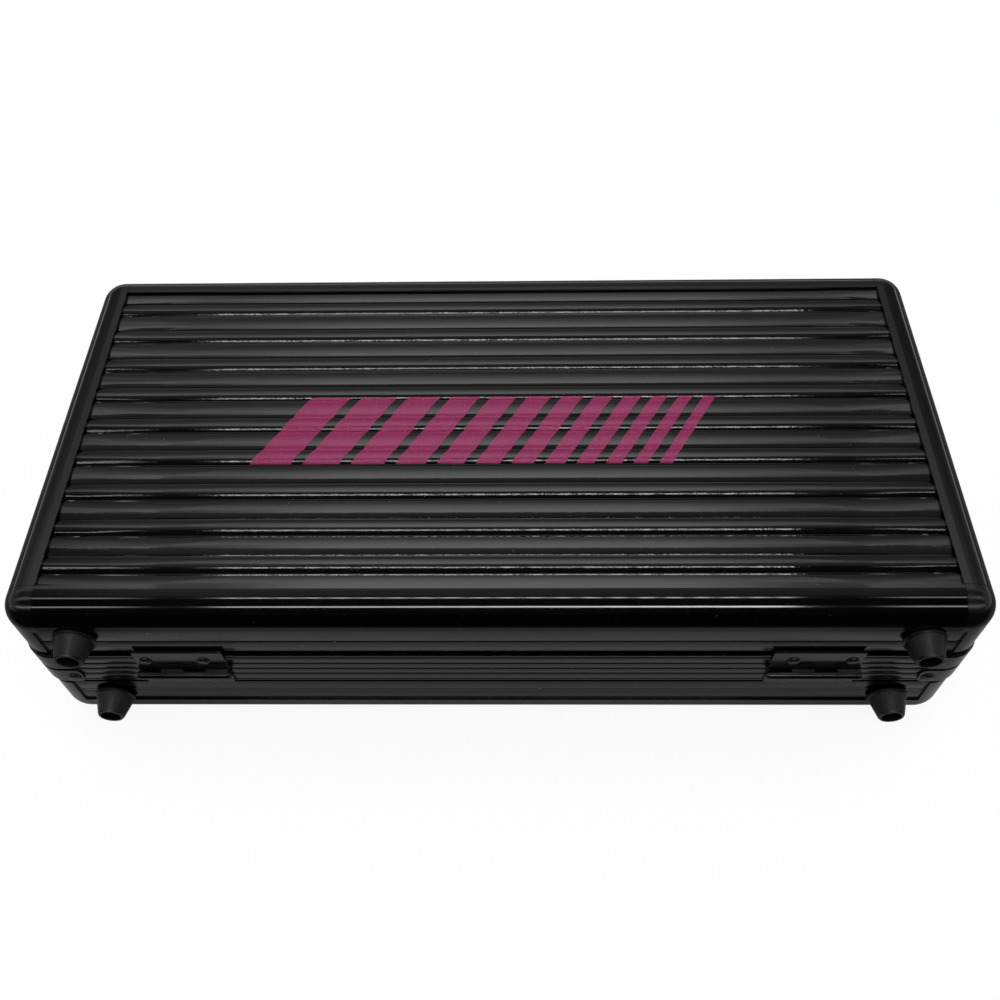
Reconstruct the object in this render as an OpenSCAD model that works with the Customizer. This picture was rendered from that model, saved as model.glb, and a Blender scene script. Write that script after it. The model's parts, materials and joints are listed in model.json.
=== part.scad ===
// Hard carrying case for a keyboard: two shallow shells of black extrusions and ribbed panels,
// hinged on one long side, with rubber feet on that side and a handle and latches opposite.
// The case lies on its base. X runs along the hinges, the hinge side faces -Y, and Z is up.
// The origin is the centre of the case's footprint on the ground.

/* [Case] */
// Outer width, along the hinges
body_w = 400; // [380:1:420]
// Outer depth, from the hinge side to the front
body_d = 196; // [192:1:200]
// Outer height of the closed case
body_h = 93; // [92:1:100]
// Radius of the rounded edges and corners
edge_r = 12; // [11:0.5:12.5]

/* [Edge extrusions] */
// Height of an edge extrusion's skirt on the wall
edge_h = 14.5; // [14:0.5:16]
// Width of its flange on the big panel, at the short sides
flange_x = 15; // [14.5:0.5:18]
// Width of its flange on the big panel, at the long sides
flange_y = 13.5; // [13.5:0.5:16]
// Thickness of the flange's lip over the panel
lip_t = 1; // [0.8:0.1:1.2]

/* [Ribbed panels] */
// Distance from one rib to the next
rib_pitch = 18.45; // [17:0.05:20]
// Width of a raised rib
rib_w = 7.7; // [6:0.1:9]
// Height of a rib's crown above the low bands' crowns
rib_h = 0.7; // [0.4:0.1:1]
// Radius of a rib's crown
rib_crown_r = 9; // [8:0.5:14]
// Radius of a low band's crown
low_crown_r = 19; // [16:1:30]
// Number of ribs
rib_count = 9; // [8:1:9]
// Distance from the hinge side to the first rib's near shoulder
rib_start = 20.3; // [18.3:0.5:22.3]

/* [Rims] */
// Height of a rim extrusion's face
rim_h = 11.2; // [11.1:0.1:12]
// Height of the groove between a wall panel and its rim
slot_h = 3.3; // [3:0.1:4]
// Height of the tongue that locates the lid
tongue_h = 2; // [1:0.5:2]

/* [Hinges] */
// Distance of a hinge's centre from the middle
hinge_x = 133.6; // [120:0.1:140]
// Width of a hinge
hinge_w = 38; // [34:1:40]
// Distance of the hinge axis outside the wall
axis_out = 3; // [2.8:0.1:3.2]
// Radius of a knuckle
knuckle_r = 2.2; // [2:0.1:2.3]
// Radius of the hinge pin
hinge_pin_r = 1.2; // [1:0.1:1.3]
// Height of the upper leaf above the parting plane
upper_leaf_h = 15.9; // [14:0.1:16]
// Height of the lower leaf below the parting plane
lower_leaf_h = 11.6; // [11:0.1:11.8]

/* [Feet] */
// Distance of a foot from the middle
foot_x = 172.4; // [165:0.1:174]
// Distance of a foot from the case's top or bottom
foot_inset = 20; // [19:0.5:20.5]
// Radius of a foot at the wall
foot_base_r = 8.8; // [8:0.1:9.2]
// Radius of a foot at its tip
foot_tip_r = 5.4; // [5:0.05:6]
// Length of a foot
foot_l = 10.5; // [9:0.5:11]

/* [Latches] */
// Distance of a latch from the middle
latch_x = 122; // [110:1:140]
// Width of a latch lever
lever_w = 22; // [20:1:24]
// Angle by which an undone lever stands off the case
pop_angle = 6; // [6:1:7]

/* [Handle] */
// Distance of a handle bracket from the middle
handle_x = 56; // [50:1:62]
// Height of the handle's pivots above the ground
handle_z = 37; // [36:0.5:38]

/* [Foam] */
// Width of the keyboard's pocket
pocket_w = 334; // [300:1:340]
// Depth of the keyboard's pocket, from the hinge side to the front
pocket_d = 144; // [130:1:150]
// Height of the pocket's floor above the ground
pocket_z = 14; // [12:1:16]

/* [Hidden] */

$fn = 64;
crown_fn = 360;
// Half sizes of the case and the height of the parting plane
half_w = body_w / 2;
half_d = body_d / 2;
part_z = body_h / 2;
// Fitting gap between pieces that are pushed or clamped together, the seam between an edge
// extrusion and its corner piece, and the cutting overlap
gap = 0.05;
seam = 0.2;
over = 1;
// Lengths of the straight extrusions and wall panels, which stop where the corners curve
run_x = body_w - 2 * edge_r;
run_y = body_d - 2 * edge_r;
// Depths in a wall, counted inwards from the outer face
bead_n = 0.6;
skin_n = 0.8;
board_n = 3;
board_t = 3;
board_in = board_n + board_t;
inner_leg_n = board_in + 1.3;
// Heights on a wall, counted from the case's top or bottom
board_low = 8;
ledge_z = 5.8;
bead_low = 23.2;
bead_high = 24.6;
bead_slope = 0.6;
rim_low = part_z - rim_h;
skin_high = rim_low - slot_h;
base_board_high = part_z - 2.5;
lid_board_high = part_z - 4.1;
// Big panel: its size, the depths of its inner face and of the grooves beside the ribs
panel_play = 0.4;
panel_w = body_w - 2 * edge_r - panel_play;
panel_d = body_d - 2 * edge_r - panel_play;
panel_low = 4.5;
rib_top = lip_t + gap;
groove_low = rib_top + 1.85;
groove_w = 0.35;
// Rim extrusions: fine steps in the face, the board's channel, and the tongue in its groove
chamfer = 0.6;
step_n = 0.22;
step_slope = 0.4;
first_step = 4.1;
first_step_h = 1.2;
second_step = 9.3;
second_step_h = 1;
base_channel = 2.4;
lid_channel = 4;
tongue_n = 3.6;
tongue_t = 1.8;
groove_n = 3.2;
groove_t = 2.6;
groove_h = tongue_h + 0.4;
// Rim corner plates
plate_t = 0.8;
plate_leg = 20;
plate_top = 1;
plate_h = 10;
plate_corner_r = 3;
// Rivets
rivet_r = 1.5;
rivet_head_r = 2.9;
small_head_r = 2.4;
rivet_head_h = 1;
rivet_depth = 2.6;
rivet_corner = 16;
rivet_z = 7;
pin_fit = 0.02;
// Hinges
hinge_y = -half_d - axis_out;
leaf_t = 1;
leaf_bend = 3;
leaf_root = 0.9;
leaf_edge = 0.4;
knuckle_n = 4;
knuckle_w = hinge_w / knuckle_n;
knuckle_gap = 0.3;
hinge_bore_r = hinge_pin_r + gap;
pin_head_r = 1.7;
pin_head_l = 0.8;
hinge_rivet_x = 12.3;
hinge_rivet_shift = 2.4;
upper_rivet_z = 8.4;
lower_rivet_z = 8.3;
// Feet and their screws
foot_bore_r = 2;
foot_recess_r = 4.4;
foot_recess_l = 5;
foot_flange_l = 1.2;
foot_round = 0.5;
foot_waist = 0.7;
screw_r = 1.9;
screw_head_r = 3.4;
screw_head_l = 1.8;
screw_l = board_in + 1.2;
cross_l = 4;
cross_w = 0.8;
cross_deep = 1;
// Latches
latch_axis_y = half_d + 4.2;
latch_axis_z = 68;
latch_pin_r = 1.2;
latch_bore_r = latch_pin_r + gap;
latch_plate_t = 1.2;
latch_plate_low = 50;
latch_plate_high = 78;
latch_ear_t = 1.5;
latch_ear_r = 2.9;
lever_gap = 0.4;
lever_t = 1.4;
lever_hook_t = 1.6;
lever_tip_y = half_d + 1.3;
lever_tab = 1.6;
lever_out = 0.8;
barrel_r = 2.6;
catch_t = 1;
catch_w = 34;
catch_low = 35.2;
ledge_low = 40.5;
ledge_t = 2.4;
ledge_out = 2.6;
hook_play = 0.3;
// Rivet places on the front side, as distance from the latch's middle and height
latch_plate_rivets = [[-8, 53.5], [8, 53.5]];
catch_rivets = [[-14.2, 41], [14.2, 41]];
// Handle, with its rivet places given from the bracket's middle
handle_axis_y = half_d + 5.6;
handle_pin_r = 1.8;
handle_bore_r = handle_pin_r + gap;
bracket_t = 1.4;
bracket_w = 18;
bracket_low = 16;
bracket_high = 45;
ear_r = 4.4;
ear_t = 2.5;
arm_w = 6;
arm_gap = 0.4;
arm_r = 4.2;
grip_low = 3.5;
grip_h = 12;
grip_in = half_d + 1;
grip_out = half_d + foot_l;
grip_r = 3.5;
handle_rivets = [[0, 42.6], [-6, 19.5], [6, 19.5]];
// Foam
foam_gap = 0.2;
foam_w = body_w - 2 * (inner_leg_n + foam_gap);
foam_d = body_d - 2 * (inner_leg_n + foam_gap);
foam_top = 44;
lid_foam_z = 52;
finger_r = 13;
foam_corner_r = 13;
pocket_corner_r = 6;

BLACK = "#17171a";
PANEL_BLACK = "#222226";
RUBBER = "#101011";
STEEL = "#303034";
FOAM = "#26262a";

// Placing a wall's cross-section, drawn with x inwards from the face and y upwards
module on_hinge_side(length) {
    translate([0, -half_d, 0])
        rotate([90, 0, 90])
            linear_extrude(length, center = true)
                children();
}

module on_front_side(length) {
    mirror([0, 1, 0])
        on_hinge_side(length)
            children();
}

module on_left_side(length) {
    translate([-half_w, 0, 0])
        rotate([90, 0, 0])
            linear_extrude(length, center = true)
                children();
}

// The lid is built as the base is, from its own top downwards
module as_lid() {
    translate([0, 0, body_h])
        mirror([0, 0, 1])
            children();
}

// One child moved to a corner, drawn for the corner at the hinge side on the left
module at_corner(side, front) {
    mirror([side > 0 ? 1 : 0, 0, 0])
        mirror([0, front > 0 ? 1 : 0, 0])
            translate([-half_w, -half_d, 0])
                children();
}

// A hole or shank along Y, from the hinge side's face inwards
module hinge_side_rod(x, z, r, from_n, to_n) {
    translate([x, -half_d + from_n, z])
        rotate([-90, 0, 0])
            cylinder(h = to_n - from_n, r = r);
}

// Big ribbed panel, drawn with x along Y and y as the depth: ribs and low bands with round
// crowns, and a narrow groove in front of each rib
module crowned_band(from, width, top, radius) {
    intersection() {
        translate([from, top])
            square([width, panel_low - top]);
        translate([from + width / 2, top + radius])
            circle(r = radius, $fn = crown_fn);
    }
}

module big_panel_section() {
    first = -half_d + rib_start;
    low_w = rib_pitch - rib_w - groove_w;
    intersection() {
        translate([-panel_d / 2, 0])
            square([panel_d, panel_low]);
        union() {
            translate([-panel_d / 2, groove_low])
                square([panel_d, panel_low - groove_low]);
            for (i = [0 : rib_count - 1])
                crowned_band(first + i * rib_pitch, rib_w, rib_top, rib_crown_r);
            for (i = [-1 : rib_count - 1])
                crowned_band(first + i * rib_pitch + rib_w - gap, low_w, rib_top + rib_h, low_crown_r);
        }
    }
}

module big_panel() {
    color(PANEL_BLACK)
        rotate([90, 0, 90])
            linear_extrude(panel_w, center = true)
                big_panel_section();
}

// Wall panel: a board in the channels of two extrusions, with a beaded skin between them
module wall_section(board_high) {
    polygon([
        [skin_n, edge_h + gap],
        [skin_n, bead_low],
        [bead_n, bead_low + bead_slope],
        [bead_n, bead_high],
        [skin_n, bead_high + bead_slope],
        [skin_n, skin_high],
        [board_n, skin_high],
        [board_n, board_high],
        [board_in, board_high],
        [board_in, board_low],
        [board_n, board_low],
        [board_n, edge_h + gap]
    ]);
}

module hinge_wall(board_high) {
    color(PANEL_BLACK)
        difference() {
            on_hinge_side(run_x)
                wall_section(board_high);
            for (side = [-1, 1])
                hinge_side_rod(side * foot_x, foot_inset, foot_bore_r, -over, board_in + over);
        }
}

module front_wall(board_high) {
    color(PANEL_BLACK)
        on_front_side(run_x)
            wall_section(board_high);
}

module left_wall(board_high) {
    color(PANEL_BLACK)
        on_left_side(run_y)
            wall_section(board_high);
}

// Edge extrusion: rounded outside, with channels for the wall panel and the big panel
module edge_section(flange) {
    difference() {
        union() {
            intersection() {
                translate([edge_r, edge_r])
                    circle(r = edge_r, $fn = crown_fn);
                square([edge_r, edge_r]);
            }
            translate([0, edge_r - gap])
                square([edge_r + gap, edge_h - edge_r + gap]);
            translate([edge_r - gap, 0])
                square([flange - edge_r + gap, edge_h]);
        }
        translate([board_n - gap, board_low - gap])
            square([board_t + 2 * gap, edge_h]);
        translate([edge_r + gap, lip_t])
            square([flange, panel_low + gap - lip_t]);
        translate([inner_leg_n, ledge_z])
            square([2 * flange, edge_h + edge_r]);
        translate([-over, edge_h])
            square([2 * flange, 2 * edge_r]);
    }
}

module hinge_edge() {
    color(BLACK)
        on_hinge_side(body_w - 2 * (flange_x + seam))
            edge_section(flange_y);
}

module front_edge() {
    color(BLACK)
        on_front_side(body_w - 2 * (flange_x + seam))
            edge_section(flange_y);
}

module left_edge() {
    color(BLACK)
        on_left_side(body_d - 2 * (flange_y + seam))
            edge_section(flange_x);
}

// Corner piece: a rounded cap over three edges, with a post up to the rim.
// The post is thinner over the last stretch, so that the groove runs on round the corner
module corner_cap() {
    color(BLACK)
        difference() {
            union() {
                corner_round();
                translate([edge_r, 0, 0])
                    rotate([90, 0, 90])
                        linear_extrude(flange_x - edge_r)
                            edge_section(flange_y);
                translate([0, flange_y, 0])
                    rotate([90, 0, 0])
                        linear_extrude(flange_y - edge_r)
                            edge_section(flange_x);
            }
            translate([edge_r + gap, edge_r + gap, lip_t])
                cube([flange_x, flange_y, panel_low + gap - lip_t]);
            translate([edge_r, inner_leg_n, ledge_z])
                cube([flange_x, flange_y, body_h]);
            translate([inner_leg_n, edge_r, ledge_z])
                cube([flange_x, flange_y, body_h]);
        }
}

module corner_round() {
    translate([edge_r, edge_r, 0])
        rotate([0, 0, 180])
            rotate_extrude(angle = 90)
                difference() {
                    intersection() {
                        post_outline(edge_r);
                        union() {
                            square([edge_r, skin_high]);
                            square([edge_r - board_n, rim_low]);
                        }
                    }
                    post_outline(edge_r - board_in);
                }
}

// Half of a post's section: straight sides over a round bottom
module post_outline(r) {
    translate([0, edge_r])
        circle(r = r);
    translate([-r, edge_r])
        square([2 * r, body_h]);
}

// Rim extrusion: an outer face with fine steps, a channel for the board and a parting face.
// Heights are counted from the parting plane, away from it
module rim_section(channel_low) {
    difference() {
        polygon([
            [chamfer, 0],
            [0, chamfer],
            [0, rim_h],
            [inner_leg_n, rim_h],
            [inner_leg_n, 0]
        ]);
        rim_step(first_step, first_step_h);
        rim_step(second_step, second_step_h);
        translate([board_n - gap, channel_low])
            square([board_t + 2 * gap, rim_h]);
    }
}

module rim_step(low, height) {
    polygon([
        [-gap, low],
        [0, low],
        [step_n, low + step_slope],
        [step_n, low + height - step_slope],
        [0, low + height],
        [-gap, low + height]
    ]);
}

module base_rim_section(tongue) {
    translate([0, part_z])
        mirror([0, 1])
            rim_section(base_channel);
    if (tongue)
        translate([tongue_n, part_z - gap])
            square([tongue_t, tongue_h + gap]);
}

// The lid's rim is drawn from the lid's own top, as the rest of the lid is
module lid_rim_section() {
    difference() {
        translate([0, part_z])
            mirror([0, 1])
                rim_section(lid_channel);
        translate([groove_n, part_z - groove_h])
            square([groove_t, groove_h + over]);
    }
}

// Rim corner casting: the rim carried round the corner, with a proud plate on each side.
// The lid's castings have the groove of its rims; the base's tongues stop short of them
module rim_corner(has_groove) {
    difference() {
        union() {
            rim_round();
            plate_band();
            plate_wing();
            mirror([1, -1, 0])
                plate_wing();
        }
        if (has_groove)
            translate([edge_r, edge_r, part_z - groove_h])
                rim_groove();
        plate_rivet_hole();
        mirror([1, -1, 0])
            plate_rivet_hole();
    }
}

module rim_round() {
    translate([edge_r, edge_r, rim_low])
        rotate([0, 0, 180])
            quarter_pipe(edge_r, edge_r - inner_leg_n, rim_h);
}

module quarter_pipe(outer, inner, height) {
    rotate_extrude(angle = 90)
        translate([inner, 0])
            square([outer - inner, height]);
}

module rim_groove() {
    rotate([0, 0, 180])
        quarter_pipe(edge_r - groove_n, edge_r - groove_n - groove_t, groove_h + over);
}

module plate_band() {
    translate([edge_r, edge_r, part_z - plate_top - plate_h])
        rotate([0, 0, 180])
            quarter_pipe(edge_r + plate_t, edge_r - gap, plate_h);
}

// The plate's flat wing along the hinge side, with a rounded far end
module plate_wing() {
    wing_l = plate_leg - edge_r;
    translate([edge_r, 0, part_z - plate_top - plate_h])
        rotate([90, 0, 0])
            linear_extrude(plate_t)
                union() {
                    square([wing_l - plate_corner_r, plate_h]);
                    translate([0, plate_corner_r])
                        square([wing_l, plate_h - 2 * plate_corner_r]);
                    for (z = [plate_corner_r, plate_h - plate_corner_r])
                        translate([wing_l - plate_corner_r, z])
                            circle(r = plate_corner_r);
                }
}

module plate_rivet_hole() {
    translate([rivet_corner, over, part_z - rivet_z])
        rotate([90, 0, 0])
            cylinder(h = plate_t + 2 * over, r = rivet_r + gap);
}

// A rivet along Y with its head outside, drawn at the hinge side's face
module rivet(proud, depth, head_r) {
    rotate([90, 0, 0])
        rotate_extrude()
            polygon([
                [0, -depth],
                [rivet_r, -depth],
                [rivet_r, proud],
                [head_r, proud],
                [head_r - 0.2, proud + rivet_head_h * 0.55],
                [head_r * 0.6, proud + rivet_head_h * 0.9],
                [0, proud + rivet_head_h]
            ]);
}

// The two rivets of one rim corner plate
module corner_rivets() {
    translate([rivet_corner, 0, part_z - rivet_z])
        rivet(plate_t, rivet_depth, rivet_head_r);
    mirror([1, -1, 0])
        translate([rivet_corner, 0, part_z - rivet_z])
            rivet(plate_t, rivet_depth, rivet_head_r);
}

// Holes in the rims for the corner rivets
module rim_rivet_holes() {
    for (side = [-1, 1], front = [-1, 1])
        at_corner(side, front) {
            rim_rivet_hole();
            mirror([1, -1, 0])
                rim_rivet_hole();
        }
}

module rim_rivet_hole() {
    translate([rivet_corner, -over, part_z - rivet_z])
        rotate([-90, 0, 0])
            cylinder(h = rivet_depth + over, r = rivet_r + gap);
}

module hinge_rivet_holes(z) {
    for (side = [-1, 1], k = [-1, 1])
        hinge_side_rod(side * (hinge_x + hinge_rivet_shift) + k * hinge_rivet_x, z,
            rivet_r + gap, -leaf_t - over, rivet_depth);
}

// Rubber foot: a cone with a thin flange at the wall and a recess for its screw
module foot() {
    rotate([90, 0, 0])
        rotate_extrude()
            polygon([
                [foot_bore_r, 0],
                [foot_base_r - foot_round, 0],
                [foot_base_r, foot_round],
                [foot_base_r, foot_flange_l],
                [foot_base_r - foot_waist, foot_flange_l + foot_waist],
                [foot_tip_r + foot_round * 0.7, foot_l - foot_waist],
                [foot_tip_r - foot_round * 0.3, foot_l],
                [foot_recess_r, foot_l],
                [foot_recess_r, foot_l - foot_recess_l],
                [foot_bore_r, foot_l - foot_recess_l]
            ]);
}

module foot_screw() {
    seat = foot_l - foot_recess_l;
    rotate([90, 0, 0])
        difference() {
            union() {
                translate([0, 0, seat])
                    cylinder(h = screw_head_l, r = screw_head_r);
                translate([0, 0, -screw_l])
                    cylinder(h = screw_l + seat, r = screw_r);
            }
            for (turn = [0, 90])
                rotate([0, 0, turn])
                    translate([-cross_l / 2, -cross_w / 2, seat + screw_head_l - cross_deep])
                        cube([cross_l, cross_w, cross_deep + over]);
        }
}

module at_feet() {
    for (side = [-1, 1])
        translate([side * foot_x, -half_d, foot_inset])
            children();
}

// Hinge leaf, drawn at the origin of its own axis: y inwards, z along the leaf, x along the axis.
// The lower leaf's knuckles grip the pin, and the upper leaf's turn on it
module leaf_section(height) {
    leaf_n = axis_out - leaf_t;
    polygon([
        [leaf_n, height - leaf_edge],
        [leaf_n + leaf_edge, height],
        [axis_out, height],
        [axis_out, leaf_bend],
        [leaf_root, leaf_bend],
        [leaf_n - leaf_edge, leaf_bend + leaf_t],
        [leaf_n, leaf_bend + 2.4 * leaf_t]
    ]);
}

// The knuckle's round and the sloping web that joins it to its leaf
module knuckle_section() {
    circle(r = knuckle_r);
    polygon([
        [-knuckle_r * 0.6, knuckle_r * 0.8],
        [leaf_root, leaf_bend + gap],
        [axis_out, leaf_bend + gap],
        [axis_out, knuckle_gap / 2],
        [0, knuckle_gap / 2]
    ]);
}

module hinge_leaf(height, first_knuckle, bore_r, rivet_height, rivet_at) {
    difference() {
        union() {
            rotate([90, 0, 90])
                linear_extrude(hinge_w, center = true)
                    leaf_section(height);
            for (k = [first_knuckle : 2 : knuckle_n - 1])
                translate([-hinge_w / 2 + (k + 0.5) * knuckle_w, 0, 0])
                    rotate([90, 0, 90])
                        linear_extrude(knuckle_w - knuckle_gap, center = true)
                            knuckle_section();
        }
        rotate([0, 90, 0])
            cylinder(h = hinge_w + 2 * over, r = bore_r, center = true);
        for (k = [-1, 1])
            translate([rivet_at + k * hinge_rivet_x, -over, rivet_height])
                rotate([-90, 0, 0])
                    cylinder(h = axis_out + 2 * over, r = rivet_r + gap);
    }
}

module upper_leaf(side) {
    color(STEEL)
        translate([side * hinge_x, hinge_y, part_z])
            hinge_leaf(upper_leaf_h, 1, hinge_bore_r, upper_rivet_z, side * hinge_rivet_shift);
}

module lower_leaf(side) {
    color(STEEL)
        translate([side * hinge_x, hinge_y, part_z])
            mirror([0, 0, 1])
                hinge_leaf(lower_leaf_h, 0, hinge_pin_r, lower_rivet_z, side * hinge_rivet_shift);
}

module hinge_pin() {
    length = hinge_w - knuckle_gap + 4 * gap;
    rotate([0, 90, 0]) {
        cylinder(h = length, r = hinge_pin_r, center = true);
        for (end = [-1, 1])
            translate([0, 0, end * (length + pin_head_l) / 2])
                cylinder(h = pin_head_l, r = pin_head_r, center = true);
    }
}

// Latch: bracket and lever on the lid, catch on the base, all on the front side
module latch_ears(width, spread, bore_r) {
    for (end = [-1, 1])
        translate([end * (spread / 2 + width / 2), 0, 0])
            rotate([90, 0, 90])
                linear_extrude(width, center = true)
                    difference() {
                        union() {
                            circle(r = latch_ear_r);
                            translate([half_d - latch_axis_y, -latch_ear_r])
                                square([latch_axis_y - half_d, 2 * latch_ear_r]);
                        }
                        circle(r = bore_r);
                    }
}

module latch_bracket(side) {
    spread = lever_w + 2 * lever_gap;
    plate_w = spread + 2 * latch_ear_t;
    color(STEEL)
        translate([side * latch_x, 0, 0])
            difference() {
                union() {
                    translate([-plate_w / 2, half_d, latch_plate_low])
                        cube([plate_w, latch_plate_t, latch_plate_high - latch_plate_low]);
                    translate([0, latch_axis_y, latch_axis_z])
                        latch_ears(latch_ear_t, spread, latch_pin_r + pin_fit);
                }
                front_rivet_holes(latch_plate_rivets);
            }
}

module front_rivet_holes(places) {
    for (place = places)
        translate([place[0], half_d + 2 * over + latch_plate_t, place[1]])
            rotate([90, 0, 0])
                cylinder(h = rivet_depth + 2 * over + latch_plate_t, r = rivet_r + gap);
}

module front_rivets(places, proud) {
    for (side = [-1, 1], place = places)
        translate([side * latch_x + place[0], half_d, place[1]])
            mirror([0, 1, 0])
                rivet(proud, rivet_depth, small_head_r);
}

module latch_pin() {
    length = lever_w + 2 * lever_gap + 2 * latch_ear_t;
    rotate([0, 90, 0])
        cylinder(h = length, r = latch_pin_r, center = true);
}

// The lever's section at the closed place, drawn with x away from the case and y upwards
module lever_section() {
    hook_top = ledge_low - hook_play - latch_axis_z;
    hook_low = hook_top - lever_hook_t;
    tab_out = lever_out + lever_tab;
    polygon([
        [lever_out - lever_t, -barrel_r / 2],
        [lever_out, -barrel_r / 2],
        [lever_out, hook_low + 1],
        [tab_out, hook_low - 0.9],
        [tab_out - 0.9, hook_low - lever_tab],
        [tab_out - 2 * lever_t, hook_low],
        [lever_tip_y - latch_axis_y, hook_low],
        [lever_tip_y - latch_axis_y, hook_top],
        [lever_out - lever_t, hook_top]
    ]);
}

module latch_lever(side) {
    color(STEEL)
        translate([side * latch_x, latch_axis_y, latch_axis_z])
            rotate([pop_angle, 0, 0])
                difference() {
                    union() {
                        rotate([90, 0, 90])
                            linear_extrude(lever_w, center = true)
                                lever_section();
                        rotate([0, 90, 0])
                            cylinder(h = lever_w, r = barrel_r, center = true);
                    }
                    rotate([0, 90, 0])
                        cylinder(h = lever_w + over, r = latch_bore_r, center = true);
                }
}

module latch_catch(side) {
    color(STEEL)
        translate([side * latch_x, 0, 0])
            difference() {
                union() {
                    translate([-catch_w / 2, half_d, catch_low])
                        cube([catch_w, catch_t, part_z - 0.8 - catch_low]);
                    translate([-lever_w / 2, half_d, ledge_low])
                        cube([lever_w, ledge_out, ledge_t]);
                }
                front_rivet_holes(catch_rivets);
            }
}

// Handle: two clevis brackets on the base's front and a grip that hangs between them
module handle_bracket(side) {
    spread = arm_w + 2 * arm_gap;
    color(STEEL)
        translate([side * handle_x, 0, 0])
            difference() {
                union() {
                    translate([-bracket_w / 2, half_d, bracket_low])
                        cube([bracket_w, bracket_t, bracket_high - bracket_low]);
                    for (end = [-1, 1])
                        translate([end * (spread + ear_t) / 2, handle_axis_y, handle_z])
                            rotate([90, 0, 90])
                                linear_extrude(ear_t, center = true)
                                    bracket_ear_section();
                }
                translate([0, handle_axis_y, handle_z])
                    rotate([0, 90, 0])
                        cylinder(h = bracket_w + over, r = handle_pin_r + pin_fit, center = true);
                bracket_rivet_holes();
            }
}

module bracket_ear_section() {
    circle(r = ear_r);
    translate([half_d - handle_axis_y, -ear_r - 2])
        square([handle_axis_y - half_d, 2 * ear_r + 2]);
}

module bracket_rivet_holes() {
    for (place = handle_rivets)
        translate([place[0], half_d + 2 * over + bracket_t, place[1]])
            rotate([90, 0, 0])
                cylinder(h = rivet_depth + 2 * over + bracket_t, r = rivet_r + gap);
}

module handle_pin() {
    length = arm_w + 2 * arm_gap + 2 * ear_t;
    rotate([0, 90, 0])
        cylinder(h = length, r = handle_pin_r, center = true);
}

module handle_arm_section() {
    grip_mid = grip_low + grip_h / 2 - handle_z;
    difference() {
        union() {
            circle(r = arm_r);
            translate([grip_in + 0.8 - handle_axis_y, grip_mid])
                square([grip_out - grip_in - 1.6, -grip_mid]);
        }
        circle(r = handle_bore_r);
    }
}

// The grip's rounded section, x away from the case and y upwards
module grip_section(r) {
    for (y = [grip_in + r, grip_out - r], z = [grip_low + r, grip_low + grip_h - r])
        translate([y, z])
            circle(r = r);
    translate([grip_in + r, grip_low])
        square([grip_out - grip_in - 2 * r, grip_h]);
    translate([grip_in, grip_low + r])
        square([grip_out - grip_in, grip_h - 2 * r]);
}

module handle_grip() {
    color(RUBBER)
        union() {
            rotate([90, 0, 90])
                linear_extrude(2 * handle_x + arm_w, center = true)
                    grip_section(grip_r);
            for (side = [-1, 1])
                translate([side * handle_x, handle_axis_y, handle_z])
                    rotate([90, 0, 90])
                        linear_extrude(arm_w, center = true)
                            handle_arm_section();
        }
}

// Foam: a floor sheet, a frame with the keyboard's pocket and finger notches, and a lid pad
module rounded_plate(w, d, h, r) {
    linear_extrude(h)
        union() {
            square([w - 2 * r, d], center = true);
            square([w, d - 2 * r], center = true);
            for (x = [-1, 1], y = [-1, 1])
                translate([x * (w / 2 - r), y * (d / 2 - r)])
                    circle(r = r);
        }
}

module base_foam_floor() {
    color(FOAM)
        translate([0, 0, ledge_z + gap])
            rounded_plate(foam_w, foam_d, pocket_z - ledge_z - 2 * gap, foam_corner_r);
}

module base_foam_frame() {
    color(FOAM)
        translate([0, 0, pocket_z])
            difference() {
                rounded_plate(foam_w, foam_d, foam_top - pocket_z, foam_corner_r);
                translate([0, 0, -over])
                    rounded_plate(pocket_w, pocket_d, body_h, pocket_corner_r);
                for (side = [-1, 1])
                    translate([side * pocket_w / 2, 0, -over])
                        cylinder(h = body_h, r = finger_r);
            }
}

module lid_foam() {
    color(FOAM)
        translate([0, 0, lid_foam_z])
            rounded_plate(foam_w, foam_d, body_h - ledge_z - gap - lid_foam_z, foam_corner_r);
}

// Base pieces
module base_bottom_panel() { big_panel(); }
module base_hinge_panel() { hinge_wall(base_board_high); }
module base_front_panel() {
    difference() {
        front_wall(base_board_high);
        for (side = [-1, 1])
            translate([side * handle_x, 0, 0])
                bracket_rivet_holes();
    }
}

module base_left_panel() { left_wall(base_board_high); }
module base_right_panel() { mirror([1, 0, 0]) left_wall(base_board_high); }
module base_hinge_edge() { hinge_edge(); }
module base_front_edge() { front_edge(); }
module base_left_edge() { left_edge(); }
module base_right_edge() { mirror([1, 0, 0]) left_edge(); }
module base_corner(side, front) { at_corner(side, front) corner_cap(); }

module base_hinge_rim() {
    color(BLACK)
        difference() {
            on_hinge_side(run_x)
                base_rim_section(false);
            rim_rivet_holes();
            hinge_rivet_holes(part_z - lower_rivet_z);
        }
}

module base_front_rim() {
    color(BLACK)
        difference() {
            on_front_side(run_x)
                base_rim_section(true);
            rim_rivet_holes();
            for (side = [-1, 1])
                translate([side * latch_x, 0, 0])
                    front_rivet_holes(catch_rivets);
            for (side = [-1, 1])
                translate([side * handle_x, 0, 0])
                    bracket_rivet_holes();
        }
}

module base_side_rim() {
    color(BLACK)
        difference() {
            on_left_side(run_y)
                base_rim_section(true);
            rim_rivet_holes();
        }
}

module base_left_rim() { base_side_rim(); }
module base_right_rim() { mirror([1, 0, 0]) base_side_rim(); }

module base_rim_corners() {
    color(BLACK)
        for (side = [-1, 1], front = [-1, 1])
            at_corner(side, front)
                rim_corner(false);
}

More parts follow.
